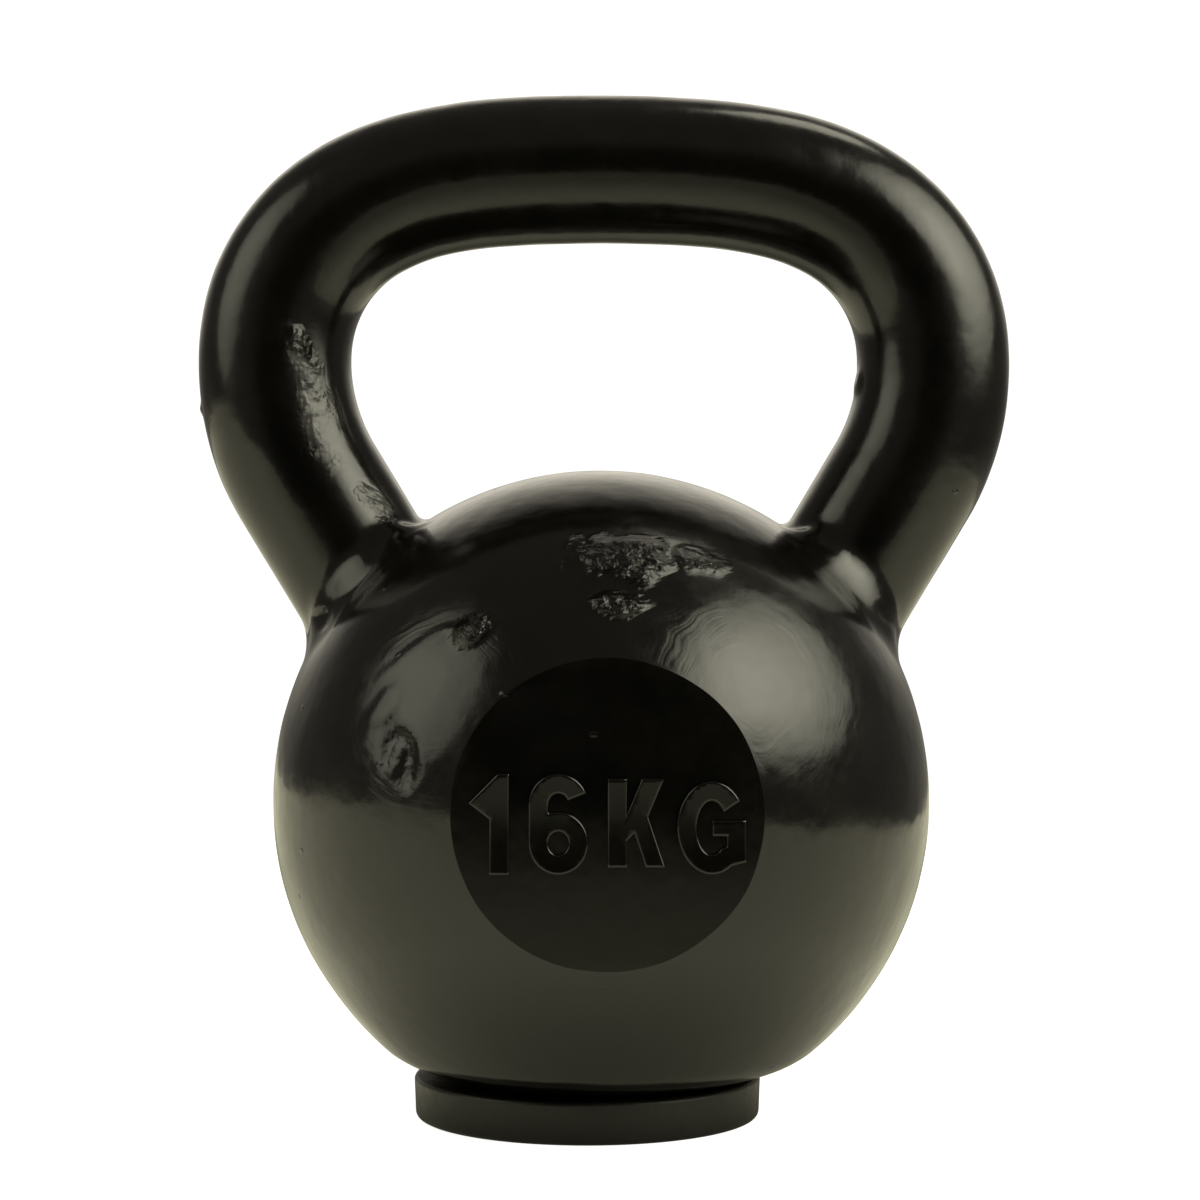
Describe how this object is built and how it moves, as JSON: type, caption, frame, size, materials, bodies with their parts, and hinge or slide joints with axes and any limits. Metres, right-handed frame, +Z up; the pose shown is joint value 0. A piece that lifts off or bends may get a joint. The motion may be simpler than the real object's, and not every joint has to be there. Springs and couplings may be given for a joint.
{
  "type": "kettlebell",
  "caption": "Cast-iron kettlebell with a wide loop handle, round flats, a raised weight mark and a rubber foot held by a screw.",
  "frame": {"origin": "on the floor under the ball's centre, at the foot's underside", "axes": "+X along the handle's bar, +Y from the marked front flat towards the back, +Z up"},
  "size_m": [0.1938, 0.1418, 0.2428],
  "materials": {
    "gloss_black_casting": "gloss",
    "black_rubber": "matte",
    "zinc_plated_washer": "satin",
    "zinc_plated_screw": "satin"
  },
  "bodies": {
    "root": {"iron_casting": "gloss_black_casting", "rubber_foot": "black_rubber", "foot_washer": "zinc_plated_washer", "foot_screw": "zinc_plated_screw"}
  },
  "joints": []
}
